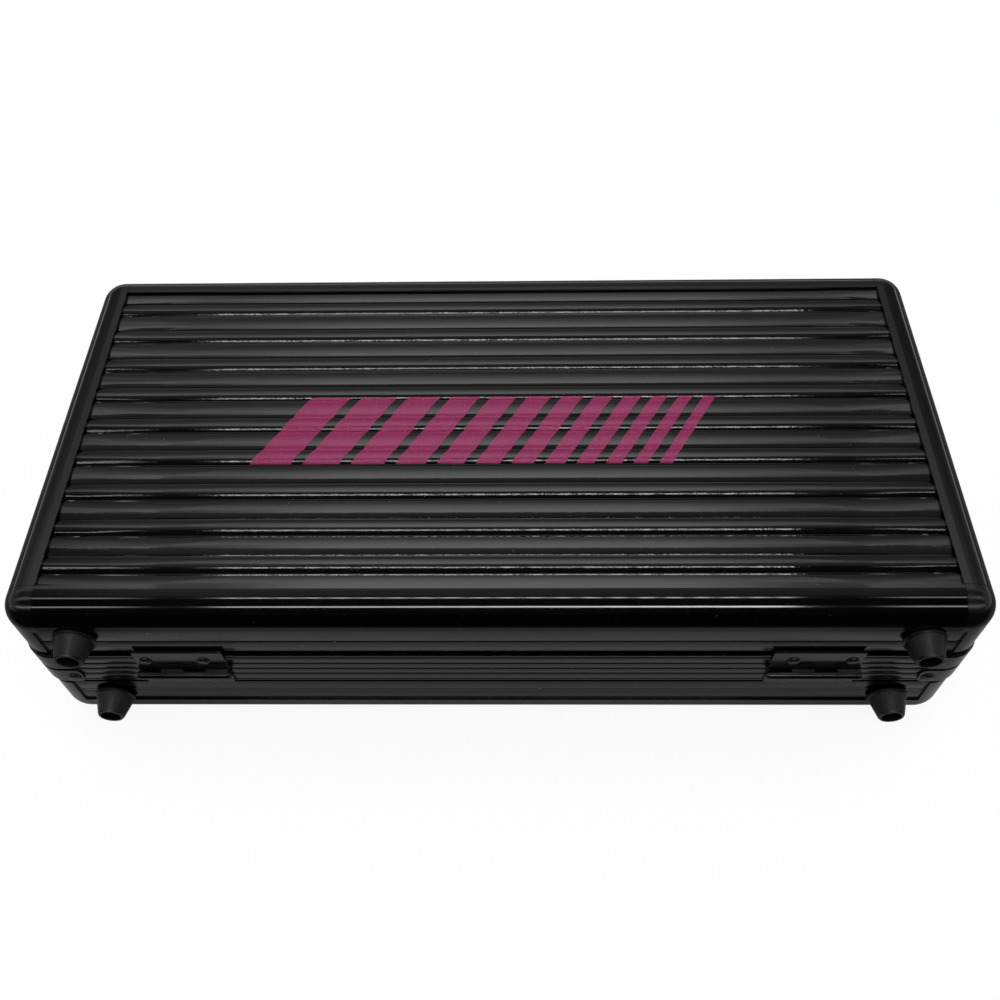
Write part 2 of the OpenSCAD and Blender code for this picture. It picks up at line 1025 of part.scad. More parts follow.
module base_rivets() {
    color(STEEL) {
        for (side = [-1, 1], front = [-1, 1])
            at_corner(side, front)
                corner_rivets();
        hinge_rivets(part_z - lower_rivet_z);
        front_rivets(catch_rivets, catch_t);
        for (side = [-1, 1], place = handle_rivets)
            translate([side * handle_x + place[0], half_d, place[1]])
                mirror([0, 1, 0])
                    rivet(bracket_t, rivet_depth, small_head_r);
    }
}

module hinge_rivets(z) {
    for (side = [-1, 1], k = [-1, 1])
        translate([side * (hinge_x + hinge_rivet_shift) + k * hinge_rivet_x, -half_d, z])
            rivet(leaf_t, rivet_depth, rivet_head_r);
}

module base_feet() { color(RUBBER) at_feet() foot(); }
module base_foot_screws() { color(STEEL) at_feet() foot_screw(); }

module hinge_pins() {
    color(STEEL)
        for (side = [-1, 1])
            translate([side * hinge_x, hinge_y, part_z])
                hinge_pin();
}

module latch_catches() {
    for (side = [-1, 1])
        latch_catch(side);
}

module handle_pins() {
    color(STEEL)
        for (side = [-1, 1])
            translate([side * handle_x, handle_axis_y, handle_z])
                handle_pin();
}

// Lid pieces
module lid_top_panel() { as_lid() big_panel(); }
module lid_hinge_panel() { as_lid() hinge_wall(lid_board_high); }
module lid_front_panel() { as_lid() front_wall(lid_board_high); }
module lid_left_panel() { as_lid() left_wall(lid_board_high); }
module lid_right_panel() { as_lid() mirror([1, 0, 0]) left_wall(lid_board_high); }
module lid_hinge_edge() { as_lid() hinge_edge(); }
module lid_front_edge() { as_lid() front_edge(); }
module lid_left_edge() { as_lid() left_edge(); }
module lid_right_edge() { as_lid() mirror([1, 0, 0]) left_edge(); }
module lid_corner(side, front) { as_lid() base_corner(side, front); }

module lid_hinge_rim() {
    color(BLACK)
        as_lid()
            difference() {
                on_hinge_side(run_x)
                    lid_rim_section();
                rim_rivet_holes();
                hinge_rivet_holes(part_z - upper_rivet_z);
            }
}

module lid_front_rim() {
    color(BLACK)
        difference() {
            as_lid()
                difference() {
                    on_front_side(run_x)
                        lid_rim_section();
                    rim_rivet_holes();
                }
            for (side = [-1, 1])
                translate([side * latch_x, 0, 0])
                    front_rivet_holes(latch_plate_rivets);
        }
}

module lid_side_rim() {
    color(BLACK)
        as_lid()
            difference() {
                on_left_side(run_y)
                    lid_rim_section();
                rim_rivet_holes();
            }
}

module lid_left_rim() { lid_side_rim(); }
module lid_right_rim() { mirror([1, 0, 0]) lid_side_rim(); }

module lid_rim_corners() {
    color(BLACK)
        as_lid()
            for (side = [-1, 1], front = [-1, 1])
                at_corner(side, front)
                    rim_corner(true);
}

module lid_rivets() {
    color(STEEL) {
        as_lid() {
            for (side = [-1, 1], front = [-1, 1])
                at_corner(side, front)
                    corner_rivets();
            hinge_rivets(part_z - upper_rivet_z);
        }
        front_rivets(latch_plate_rivets, latch_plate_t);
    }
}

module lid_feet() { as_lid() base_feet(); }
module lid_foot_screws() { as_lid() base_foot_screws(); }

module latch_pins() {
    color(STEEL)
        for (side = [-1, 1])
            translate([side * latch_x, latch_axis_y, latch_axis_z])
                latch_pin();
}

base_bottom_panel();
base_hinge_panel();
base_front_panel();
base_left_panel();
base_right_panel();
base_hinge_edge();
base_front_edge();
base_left_edge();
base_right_edge();
base_corner(-1, -1);  // base_corner_hinge_left
base_corner(1, -1);  // base_corner_hinge_right
base_corner(-1, 1);  // base_corner_front_left
base_corner(1, 1);  // base_corner_front_right
base_hinge_rim();
base_front_rim();
base_left_rim();
base_right_rim();
base_rim_corners();
base_rivets();
base_feet();
base_foot_screws();
base_foam_floor();
base_foam_frame();
lower_leaf(-1);  // hinge_lower_leaf_left
lower_leaf(1);  // hinge_lower_leaf_right
hinge_pins();
latch_catches();
handle_bracket(-1);  // handle_bracket_left
handle_bracket(1);  // handle_bracket_right
handle_pins();
handle_grip();
lid_top_panel();
lid_hinge_panel();
lid_front_panel();
lid_left_panel();
lid_right_panel();
lid_hinge_edge();
lid_front_edge();
lid_left_edge();
lid_right_edge();
lid_corner(-1, -1);  // lid_corner_hinge_left
lid_corner(1, -1);  // lid_corner_hinge_right
lid_corner(-1, 1);  // lid_corner_front_left
lid_corner(1, 1);  // lid_corner_front_right
lid_hinge_rim();
lid_front_rim();
lid_left_rim();
lid_right_rim();
lid_rim_corners();
lid_rivets();
lid_feet();
lid_foot_screws();
lid_foam();
upper_leaf(-1);  // hinge_upper_leaf_left
upper_leaf(1);  // hinge_upper_leaf_right
latch_bracket(-1);  // latch_bracket_left
latch_bracket(1);  // latch_bracket_right
latch_pins();
latch_lever(-1);  // latch_lever_left
latch_lever(1);  // latch_lever_right
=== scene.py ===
"""Looks of the keyboard hard case: gloss black extrusions, ribbed panels, rubber feet and foam."""
import json
import math

import bmesh
import bpy
import numpy as np
from mathutils import Matrix, Vector, noise


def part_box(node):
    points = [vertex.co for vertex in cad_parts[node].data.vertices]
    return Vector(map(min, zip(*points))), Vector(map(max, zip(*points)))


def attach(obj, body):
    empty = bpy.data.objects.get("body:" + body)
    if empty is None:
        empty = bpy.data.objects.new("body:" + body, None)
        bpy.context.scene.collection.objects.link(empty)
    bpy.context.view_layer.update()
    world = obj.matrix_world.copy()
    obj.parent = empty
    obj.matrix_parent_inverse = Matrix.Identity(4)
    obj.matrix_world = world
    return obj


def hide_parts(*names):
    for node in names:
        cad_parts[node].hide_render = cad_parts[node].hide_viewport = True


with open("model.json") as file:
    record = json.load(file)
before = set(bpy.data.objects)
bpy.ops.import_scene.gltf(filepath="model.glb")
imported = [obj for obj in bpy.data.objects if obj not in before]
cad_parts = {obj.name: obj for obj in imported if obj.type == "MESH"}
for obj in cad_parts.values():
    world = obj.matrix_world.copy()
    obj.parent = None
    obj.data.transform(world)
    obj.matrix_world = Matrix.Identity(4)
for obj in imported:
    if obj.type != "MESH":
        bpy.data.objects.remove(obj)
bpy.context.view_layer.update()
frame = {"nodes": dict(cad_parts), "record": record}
MM = 0.001
TINY = 1e-6
WHITE = (1, 1, 1)
SCENE = bpy.context.scene

# Camera, fitted to the photograph's straight edges
FOCAL_PX, IMAGE_PX, SENSOR_MM = 1025.12, 1000, 36
PITCH, ROLL, YAW = math.radians(54.4), math.radians(-1.81), math.radians(-2.0)
CAMERA_AT = Vector((10.28, -294.04, 443.77)) * MM
CLIP_START = 10 * MM

# Finishes. A noise's scale is its number of features in a metre; a range is from and to, in the
# noise's level, and a third and fourth number are what it turns into there.
GLOSS_BLACK, SATIN_BLACK = (0.0014, 0.0014, 0.0016), (0.003, 0.003, 0.0033)
PATCHES = {"scale": 40, "detail": 3}
PATCH_GLOSS, PATCH_TINT, PATCH_DARKER = (0.3, 0.7), (0.2, 0.8), 0.7
GRAIN_SCALE, GRAIN_DEPTH = 900, 0.1 * MM
# How level a face is where its wall roughness starts and where it is full
UPRIGHT = (0.35, 0.05)
# Dust: colour, roughness, how it gathers in places, and how faintly its small specks show
DUST_COLOUR, DUST_ROUGHNESS = (0.24, 0.23, 0.22), 0.6
DUST_CROWD_SCALE, DUST_CROWD, DUST_FAINT = 22, (0.42, 0.62, 0.25, 1.0), 0.45
# The walls' faces between their grooves, which the light shows slightly rounded: heights above the
# ground in mm, and the tilt at a face's edges in degrees. Then the faint lines drawn along them.
WALL_FACES = [
    (12, 23.9, 11), (23.9, 32, 11), (36.7, 41.8, 11), (41.8, 46.5, 11),
    (46.5, 51.2, 11), (51.2, 56.3, 11), (61, 69.1, 10), (69.1, 81, 6.5),
]
WALL_LINES, WALL_LINE_DEPTH = {"scale": 430, "stretch": (0.002, 0.002, 1)}, 0.03 * MM

# The big panels' profile: rib pitch and places as in the part's source, arcs as the reflections
# show. An arc is its tilt towards the hinge side at its start and end, in degrees, and its radius
# in mm, which is negative where it is hollow.
RIB_PITCH, RIB_COUNT, FIRST_RIB = 18.45 * MM, 9, -77.7 * MM
RIB_START, RIB_TOP = 0.45 * MM, 1.05 * MM
RIB_ARCS = [(28.5, 19, 14.0), (19, 9, 1.5), (9, -21, 9.2), (-21, -80, 0.25)]
LOW_START, LOW_TOP = 8.41 * MM, 1.3 * MM
LOW_ARCS = [
    (21.5, 7, 9.0), (7, -12.7, 18.5), (-12.7, 21.5, -0.35), (21.5, 18.5, 13.0), (18.5, -75, 0.2),
]
ARC_STEP, ARC_STEPS_LEAST = 0.3 * MM, 3
GROOVE_DEPTH, PANEL_BACK = 2.9 * MM, 4.5 * MM
LOW_BAND_LIP, RIB_LIP = 0.2 * MM, 0.3 * MM
HARD_EDGE = math.radians(40)
# Stations along a panel, closer together in its end zones
END_ZONE, END_STATIONS, MIDDLE_STATIONS = 48 * MM, 34, 60
# Near a panel's sawn ends the low bands' crowns are drawn aside, each by its own amount
END_REACH = 45 * MM
PULL, PULL_SPREAD, PULL_POWER, PULL_SEED = 2.4 * MM, 1.6 * MM, 1.6, (1.7, 4.1, 0.3)
# The surface's unevenness: height, length and width in mm, and the noise's seed. Streaks and waves
# fade out away from the ends.
STREAKS, WAVES, CALM = (0.085, 30, 1.9, 3.7), (0.17, 38, 6, 1.9), (0.014, 60, 18, 9.1)
RIPPLE_REACH, RIPPLE_POWER = END_REACH * 1.5, 1.15

# Printed motif: a row of slanted bars that grow narrower, a thin film over the ribs
PRINT_LEFT, PRINT_RIGHT, PRINT_LOW, PRINT_HIGH = -108 * MM, 108 * MM, -22 * MM, 16 * MM
PRINT_SLANT, PRINT_FIRST, PRINT_GAP, PRINT_SHRINK = 0.6, 18 * MM, 5 * MM, 0.9
PRINT_PROUD, PRINT_SUNK, PRINT_COLUMNS = 0.05 * MM, 0.3 * MM, 5

# Foam: corners, pocket and finger notches as in the part's source
FOAM_CORNER = 13 * MM
POCKET_X, POCKET_Y, POCKET_CORNER, NOTCH_R = 167 * MM, 72 * MM, 6 * MM, 13 * MM
# The frame's cut edges, the dip of its top and the bulge of its pocket's walls
CUT_EDGE, CUT_DIP, CUT_BULGE = 2.4 * MM, 0.5 * MM, 0.8 * MM
EDGE_STEPS, TOP_STEPS, WALL_STEPS = 6, 7, 5
# Directions around the frame: evenly spread ones, then more of them about each corner and notch, as
# the angle to both sides and their number
AROUND, ABOUT_CORNER, ABOUT_NOTCH = 360, (0.09, 41), (0.085, 61)
# The slabs' soft rims and flat borders, the base sheet's crown and the lid's egg crate
RIM_DROP, RIM_WIDTH, BORDER, CORNER_ROWS = 1.8 * MM, 4 * MM, 8 * MM, 9
CROWN, CROWN_X, CROWN_Y = 0.3 * MM, 190 * MM, 90 * MM
CRATE_STEP, CRATE_DEEP = 19 * MM, 15 * MM

# The studio seen in reflections: angle from the far horizon over the top, and strength
SKY = [
    (0, 0.36), (8, 0.27), (16, 0.24), (25, 0.27), (33, 0.30), (40, 0.40), (48, 0.58), (55, 1.05),
    (61, 1.7), (65.5, 1.8), (67, 0.42), (77, 0.28), (86, 0.30), (93, 0.15), (98, 0.05), (180, 0.012),
]
# Its change towards both ends and from left to right: from, to and the shares there. Past the ends
# it has one strength. The white horizon fades out at these heights.
SKY_FADE, SKY_SLOPE = (0.33, 0.5, 1.0, 0.45), (-0.1, 0.3, 1.1, 0.85)
SKY_ENDS, SKY_END_STRENGTH = (0.7, 0.95), 0.35
HORIZON = (0.10, 0.06)
# Two rows of lamps, as angle and width in degrees and strength: the first is dashed, the second
# grows stronger to the right
LAMP_ONE, LAMP_TWO = (99, 5.5, 12.0), (134, 6, 16.0)
LAMP_STEP, LAMP_DASH, LAMP_GROWTH = 0.027, (0.34, 0.20, 0.04, 1.0), (-0.3, 0.25, 0.6, 1.1)
LAMP_ENDS, LAMP_SOFT = (-0.30, 0.265), 0.012
# The rows go on past their bright length as plain strips: side, start and share of the strength
STRIPS, STRIP_SOFT = ((-1, 0.355, 0.3), (1, 0.33, 0.3)), 0.06
# The floor: half its side, how far it lies under the case, its reach for shade and its matt colour
FLOOR_HALF, FLOOR_DROP, FLOOR_REACH, FLOOR_MATT = 3.0, 0.2 * MM, 0.12, (0.8, 0.8, 0.8)
# How open it is to the sky, which grows away from the case, with its strength to the camera, then
# in reflections
FLOOR_SEEN = (0, 1, 0.9, 1.0)
FLOOR_MIRRORED = [
    (0.50, 0.12), (0.54, 0.31), (0.62, 0.32), (0.72, 0.42), (0.8, 0.4), (0.86, 0.3), (0.97, 0.12),
]
# A black card in front of the case, as used to keep a gloss edge dark: y and z of its long edges
FLAG_HALF, FLAG_EDGES, FLAG_BLACK = 1.5, ((-0.172, 0.001), (-0.75, 0.26)), (0.002, 0.002, 0.002)
# A soft light above the far side: distance from the case's middle line in metres, and strength
SOFTBOX = [
    (0.104, 0.4), (0.117, 0.8), (0.132, 2.4), (0.17, 2.6), (0.20, 2.3), (0.26, 2.05), (0.31, 1.7),
    (0.35, 1.5), (0.385, 1.3), (0.435, 1.0), (0.50, 0.74), (0.575, 0.6), (0.66, 0.5),
]
SOFTBOX_Z, SOFTBOX_HALF = 0.51, 0.31
# It fades towards both ends, most of all near the case, and a little from its middle to the right
SOFTBOX_ENDS, SOFTBOX_LOSS, SOFTBOX_SLOPE = (0.13, 0.29), (0.15, 0.27, 0.7, 0.25), (0.0, 0.3, 1.0, 0.85)


def make_camera():
    ahead = math.cos(PITCH)
    forward = Vector((math.sin(YAW) * ahead, math.cos(YAW) * ahead, -math.sin(PITCH)))
    level = Vector((math.cos(YAW), -math.sin(YAW), 0))
    above = level.cross(forward)
    right = level * math.cos(ROLL) + above * math.sin(ROLL)
    up = above * math.cos(ROLL) - level * math.sin(ROLL)
    data = bpy.data.cameras.new("camera")
    data.sensor_width = SENSOR_MM
    data.lens = SENSOR_MM * FOCAL_PX / IMAGE_PX
    data.clip_start = CLIP_START
    camera = bpy.data.objects.new("camera", data)
    turn = Matrix((right, up, -forward)).transposed()
    camera.matrix_world = Matrix.Translation(CAMERA_AT) @ turn.to_4x4()
    SCENE.collection.objects.link(camera)
    SCENE.camera = camera


class Nodes:
    """Short calls for building a node tree."""

    def __init__(self, tree):
        self.tree = tree

    def new(self, kind, inputs=(), **settings):
        node = self.tree.nodes.new(kind)
        for name, value in settings.items():
            setattr(node, name, value)
        for key, value in dict(inputs).items():
            self.put(node, key, value)
        return node

    def put(self, node, key, value):
        socket = node.inputs[key]
        if isinstance(value, bpy.types.NodeSocket):
            self.tree.links.new(value, socket)
        elif isinstance(value, tuple) and len(value) == 3 and socket.type == "RGBA":
            socket.default_value = (*value, 1)
        else:
            socket.default_value = value

    def math(self, operation, a, b=0.0, c=0.0):
        return self.new("ShaderNodeMath", {0: a, 1: b, 2: c}, operation=operation).outputs[0]

    def step(self, value, low, high, to_low=0.0, to_high=1.0):
        """Smooth change from one level to another as the value goes from low to high."""
        inputs = {"Value": value, "From Min": low, "From Max": high, "To Min": to_low, "To Max": to_high}
        return self.new("ShaderNodeMapRange", inputs, interpolation_type="SMOOTHSTEP").outputs[0]

    def curve(self, value, stops):
        """Level at a value, straight between stops of (value, level)."""
        low, high = stops[0][0], stops[-1][0]
        most = max(level for _, level in stops)
        inputs = {"Value": value, "From Min": low, "From Max": high}
        share = self.new("ShaderNodeMapRange", inputs).outputs[0]
        ramp = self.new("ShaderNodeValToRGB", {0: share})
        elements = ramp.color_ramp.elements
        elements[0].color = (stops[0][1] / most,) * 3 + (1,)
        elements[1].color = (stops[-1][1] / most,) * 3 + (1,)
        for at, level in stops[1:-1]:
            elements.new((at - low) / (high - low)).color = (level / most,) * 3 + (1,)
        return self.math("MULTIPLY", ramp.outputs[0], most)

    def noise(self, place, scale, detail=2.0, stretch=(1, 1, 1)):
        where = self.new("ShaderNodeMapping", {"Vector": place, "Scale": stretch}).outputs[0]
        inputs = {"Vector": where, "Scale": scale, "Detail": detail}
        return self.new("ShaderNodeTexNoise", inputs).outputs[0]

    def bump(self, height, strength, distance, normal=None):
        inputs = {"Height": height, "Strength": strength, "Distance": distance}
        if normal:
            inputs["Normal"] = normal
        return self.new("ShaderNodeBump", inputs).outputs[0]

    def mix(self, share, a, b):
        return self.new("ShaderNodeMix", {0: share, 6: a, 7: b}, data_type="RGBA").outputs[2]


def new_material(name, level):
    """A material, its nodes, its shader with a specular level, and the place on the object."""
    material = bpy.data.materials.new(name)
    material.use_nodes = True
    nodes = Nodes(material.node_tree)
    shader = material.node_tree.nodes["Principled BSDF"]
    shader.inputs["Specular IOR Level"].default_value = level
    return material, nodes, shader, nodes.new("ShaderNodeTexCoord").outputs["Object"]


def dust(nodes, place, scale, share, size):
    """Mask of scattered specks: a few cells of a grid, each with a small dot."""
    inputs = {"Vector": place, "Scale": scale}
    cells = nodes.new("ShaderNodeTexVoronoi", inputs, voronoi_dimensions="3D").outputs
    near = nodes.step(cells["Distance"], size, size * 0.5)
    chosen = nodes.new("ShaderNodeTexWhiteNoise", {"Vector": cells["Position"]}).outputs["Value"]
    return nodes.math("MULTIPLY", near, nodes.math("LESS_THAN", chosen, share))


def wall_crowns(nodes, place):
    """Height of the walls' slightly rounded faces: a shallow crown over each, with drawn lines."""
    up = nodes.new("ShaderNodeSeparateXYZ", {0: place}).outputs[2]
    total = nodes.math("MULTIPLY", nodes.noise(place, **WALL_LINES), WALL_LINE_DEPTH)
    for low, high, tilt in WALL_FACES:
        half = (high - low) / 2 * MM
        share = nodes.math("DIVIDE", nodes.math("SUBTRACT", up, (low + high) / 2 * MM), half)
        crown = nodes.math("SUBTRACT", 1.0, nodes.math("MULTIPLY", share, share))
        rise = math.tan(math.radians(tilt)) * half / 2
        crown = nodes.math("MULTIPLY", nodes.math("MAXIMUM", crown, 0.0), rise)
        total = nodes.math("ADD", total, crown)
    return total


def black_finish(name, colour, roughness, uneven, grain, stretch=(1, 1, 1), specks=0.0, soft_edge=0.0,
                 level=0.5, wall_roughness=0.0):
    """Black finish with uneven gloss and a fine surface grain, and where asked with dust specks and
    softened edges. Where a wall roughness is given, upright faces are duller and slightly rounded."""
    material, nodes, shader, place = new_material(name, level)
    patches = nodes.noise(place, stretch=stretch, **PATCHES)
    gloss = nodes.step(patches, *PATCH_GLOSS, roughness - uneven, roughness + uneven)
    normal = None
    if soft_edge:
        normal = nodes.new("ShaderNodeBevel", {"Radius": soft_edge}, samples=4).outputs[0]
    if wall_roughness:
        facing = nodes.new("ShaderNodeTexCoord").outputs["Normal"]
        flat = nodes.math("ABSOLUTE", nodes.new("ShaderNodeSeparateXYZ", {0: facing}).outputs[2])
        gloss = nodes.math("ADD", gloss, nodes.step(flat, *UPRIGHT, 0.0, wall_roughness - roughness))
        normal = nodes.bump(wall_crowns(nodes, place), 1.0, 1.0, normal)
    darker = tuple(channel * PATCH_DARKER for channel in colour)
    tint = nodes.mix(nodes.step(patches, *PATCH_TINT), darker, colour)
    if specks:
        large = dust(nodes, place, scale=420, share=specks, size=0.10)
        small = dust(nodes, place, scale=900, share=specks * 1.5, size=0.14)
        mask = nodes.math("MAXIMUM", large, nodes.math("MULTIPLY", small, DUST_FAINT))
        crowd = nodes.step(nodes.noise(place, DUST_CROWD_SCALE), *DUST_CROWD)
        mask = nodes.math("MULTIPLY", mask, crowd)
        tint = nodes.mix(mask, tint, DUST_COLOUR)
        gloss = nodes.math("MAXIMUM", gloss, nodes.math("MULTIPLY", mask, DUST_ROUGHNESS))
    fine = nodes.noise(place, GRAIN_SCALE, stretch=stretch)
    nodes.put(shader, "Base Color", tint)
    nodes.put(shader, "Roughness", gloss)
    nodes.put(shader, "Normal", nodes.bump(fine, grain, GRAIN_DEPTH, normal))
    return material


def foam_finish():
    material, nodes, shader, place = new_material("foam_open_cell", level=0.2)
    cells = nodes.new("ShaderNodeTexVoronoi", {"Vector": place, "Scale": 900.0}).outputs
    pores = nodes.step(cells["Distance"], 0.1, 0.6)
    patches = nodes.noise(place, scale=60, detail=4)
    # The pore hollows are drawn darker than the cell walls: painted shade in the pores, over the foam's
    # random tone.
    dark = nodes.mix(patches, (0.012, 0.012, 0.013), (0.03, 0.03, 0.032))
    nodes.put(shader, "Base Color", nodes.mix(pores, dark, (0.05, 0.05, 0.052)))
    nodes.put(shader, "Roughness", nodes.step(pores, 0, 1, 0.85, 1.0))
    nodes.put(shader, "Normal", nodes.bump(pores, strength=0.6, distance=0.6 * MM))
    return material


def print_finish():
    material, nodes, shader, place = new_material("print_pink", level=0.3)
    patches = nodes.noise(place, scale=70, detail=3)
    fine = nodes.noise(place, scale=700)
    tint = nodes.mix(patches, (0.38, 0.023, 0.133), (0.41, 0.029, 0.150))
    nodes.put(shader, "Base Color", tint)
    nodes.put(shader, "Roughness", nodes.step(fine, 0.3, 0.7, 0.2, 0.28))
    nodes.put(shader, "Normal", nodes.bump(fine, strength=0.08, distance=GRAIN_DEPTH))
    return material


MATERIALS = {
    "extrusion": black_finish(
        "extrusion_gloss", GLOSS_BLACK, roughness=0.06, uneven=0.02, grain=0.03,
        stretch=(0.08, 1, 1), specks=0.05, soft_edge=0.2 * MM, wall_roughness=0.2),
    "panel": black_finish(
        "panel_gloss", GLOSS_BLACK, roughness=0.055, uneven=0.02, grain=0.13,
        stretch=(0.6, 1, 1), specks=0.12, wall_roughness=0.2),
    "corner": black_finish(
        "corner_satin", SATIN_BLACK, roughness=0.2, uneven=0.05, grain=0.1,
        specks=0.05, soft_edge=0.3 * MM),
    "hardware": black_finish(
        "hardware_black", SATIN_BLACK, roughness=0.18, uneven=0.04, grain=0.12,
        soft_edge=0.25 * MM),
    "rubber": black_finish(
        "rubber_black", (0.004, 0.004, 0.0043), roughness=0.36, uneven=0.05, grain=0.35,
        soft_edge=0.3 * MM, level=0.4),
    "grip": black_finish(
        "grip_black", (0.008, 0.008, 0.0084), roughness=0.42, uneven=0.05, grain=0.5,
        soft_edge=0.6 * MM),
    "foam": foam_finish(),
    "print": print_finish(),
}


def paint_nodes():
    for row in frame["record"]["subparts"]:
        mesh = frame["nodes"][row["node"]].data
        mesh.materials.clear()
        mesh.materials.append(MATERIALS[row["material_slot"]])


def dress(piece, material, body, node=None):
    """Gives a piece its material and its body, and hides the CAD node it replaces, if any."""
    piece.data.materials.append(MATERIALS[material])
    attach(piece, body)
    if node:
        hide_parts(node)


# Ribbed panels
def arc_line(start, top, arcs):
    """Points (y, depth) along the arcs, the highest of them at the given depth."""
    y, depth, points = start, 0.0, []
    for first, last, radius in arcs:
        first, last, radius = math.radians(first), math.radians(last), radius * MM
        across = abs(radius * (math.sin(first) - math.sin(last)))
        steps = max(ARC_STEPS_LEAST, int(across / ARC_STEP))
        for tilt in np.linspace(first, last, steps + 1)[(1 if points else 0):]:
            points.append((y + radius * (math.sin(first) - math.sin(tilt)),
                           depth - radius * (math.cos(tilt) - math.cos(first))))
        y, depth = points[-1]
    lift = top - min(d for _, d in points)
    return [(y, d + lift) for y, d in points]


def bands():
    """Every rib and low band as (is it low, its points), from the near side to the far side."""
    for k in range(-1, RIB_COUNT):
        rib = FIRST_RIB + k * RIB_PITCH
        if k >= 0:
            yield False, arc_line(rib + RIB_START, RIB_TOP, RIB_ARCS)
        yield True, arc_line(rib + LOW_START, LOW_TOP, LOW_ARCS)


def panel_outline(half):
    """The ribbed face as (y, depth, share along a low band), from the near side to the far side."""
    points = []
    for low, line in bands():
        near, far = line[0][0], line[-1][0]
        points.append((near, line[0][1] + LOW_BAND_LIP if low else GROOVE_DEPTH, 0.0))
        points += [(y, depth, (y - near) / (far - near) if low else 0.0) for y, depth in line]
        points.append((far, GROOVE_DEPTH if low else line[-1][1] + RIB_LIP, 0.0))
    inside = [p for p in points if -half < p[0] < half]
    return [(-half, inside[0][1], 0.0)] + inside + [(half, inside[-1][1], 0.0)]


def end_pull(x, y, half):
    """How far the low bands' crowns are drawn aside near the panel's sawn ends."""
    reach = max(0.0, 1 - (half - abs(x)) / END_REACH)
    band, side, layer = PULL_SEED
    each = noise.noise(Vector((round(y / RIB_PITCH) * band, math.copysign(side, x), layer)))
    return (PULL + PULL_SPREAD * each) * reach ** PULL_POWER


def uneven_height(x, y, height, length, width, seed):
    return height * MM * noise.noise(Vector((x / (length * MM), y / (width * MM), seed)))


def ripple(x, y, half):
    """The panel's slight unevenness: strongest near its ends."""
    reach = max(0.0, 1 - (half - abs(x)) / RIPPLE_REACH)
    rough = uneven_height(x, y, *STREAKS) + uneven_height(x, y, *WAVES)
    return rough * reach ** RIPPLE_POWER + uneven_height(x, y, *CALM)


def grid_solid(name, rows, back_rows):
    """A closed solid from a front grid of points and the back grid of the same size."""
    rows, back_rows = np.array(rows), np.array(back_rows)
    m, n = rows.shape[:2]
    size = m * n
    verts = np.concatenate([rows.reshape(-1, 3), back_rows.reshape(-1, 3)])
    faces = []
    for i in range(m - 1):
        for j in range(n - 1):
            a, b, c, d = i * n + j, i * n + j + 1, (i + 1) * n + j + 1, (i + 1) * n + j
            faces.append((a, b, c, d))
            faces.append((size + d, size + c, size + b, size + a))
    rim = list(range(n)) + [i * n + n - 1 for i in range(1, m)]
    rim += [(m - 1) * n + j for j in range(n - 2, -1, -1)] + [i * n for i in range(m - 2, 0, -1)]
    for a, b in zip(rim, rim[1:] + rim[:1]):
        faces.append((b, a, size + a, size + b))
    return solid(name, verts, faces)


def solid(name, verts, faces):
    """A smooth-shaded piece with its normals outward and its hard edges kept."""
    mesh = bpy.data.meshes.new(name)
    mesh.from_pydata([tuple(map(float, v)) for v in verts], [], faces)
    mesh.validate()
    work = bmesh.new()
    work.from_mesh(mesh)
    bmesh.ops.recalc_face_normals(work, faces=work.faces)
    if work.calc_volume(signed=True) < 0:
        bmesh.ops.reverse_faces(work, faces=work.faces)
    work.to_mesh(mesh)
    work.free()
    mesh.shade_smooth()
    mesh.set_sharp_from_angle(angle=HARD_EDGE)
    piece = bpy.data.objects.new(name, mesh)
    SCENE.collection.objects.link(piece)
    return piece


def ribbed_panel(name, node, body, outer, outward):
    """Ribbed panel with its outer plane at this height; outward is 1 if it faces up, -1 if down."""
    half_x, half_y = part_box(node)[1][:2]
    inner = half_x - END_ZONE
    ends = np.linspace(inner, half_x, END_STATIONS)
    middle = np.linspace(-inner, inner, MIDDLE_STATIONS)[1:-1]
    outline = panel_outline(half_y)
    front, back = [], []
    for x in np.concatenate([-ends[::-1], middle, ends]):
        line = [(x, y + math.sin(math.pi * share) * end_pull(x, y, half_x),
                 outer - outward * (depth + ripple(x, y, half_x))) for y, depth, share in outline]
        front.append(line)
        back.append([(x, y, outer - outward * PANEL_BACK) for _, y, _ in line])
    dress(grid_solid(name, front, back), "panel", body, node)


def print_bar(left, width, top, half_x):
    """One bar of thin film, which follows the ribs and bridges the narrow grooves beside them."""
    face = [point for _, band in bands() for point in band]
    keep = [point for point in face if PRINT_LOW < point[0] < PRINT_HIGH]
    keep += [(edge, float(np.interp(edge, *zip(*face)))) for edge in (PRINT_LOW, PRINT_HIGH)]
    keep.sort()
    front, back = [], []
    for share in np.linspace(0, 1, PRINT_COLUMNS):
        row = [(left + (y - PRINT_LOW) * PRINT_SLANT + share * width, y, depth) for y, depth in keep]
        front.append([(x, y, top - d - ripple(x, y, half_x) + PRINT_PROUD) for x, y, d in row])
        back.append([(x, y, top - d - PRINT_SUNK) for x, y, d in row])
    return grid_solid("bar", front, back)


def print_motif(top):
    """The row of printed bars, as one piece."""
    half_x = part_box("lid_top_panel")[1].x
    slant = (PRINT_HIGH - PRINT_LOW) * PRINT_SLANT
    left, width = PRINT_LEFT, PRINT_FIRST
    work = bmesh.new()
    while left + width + slant < PRINT_RIGHT:
        bar = print_bar(left, width, top, half_x)
        work.from_mesh(bar.data)
        bpy.data.objects.remove(bar)
        left += width + PRINT_GAP
        width *= PRINT_SHRINK
    mesh = bpy.data.meshes.new("lid_printed_bars")
    work.to_mesh(mesh)
    work.free()
    piece = bpy.data.objects.new("lid_printed_bars", mesh)
    SCENE.collection.objects.link(piece)
    dress(piece, "print", "lid")


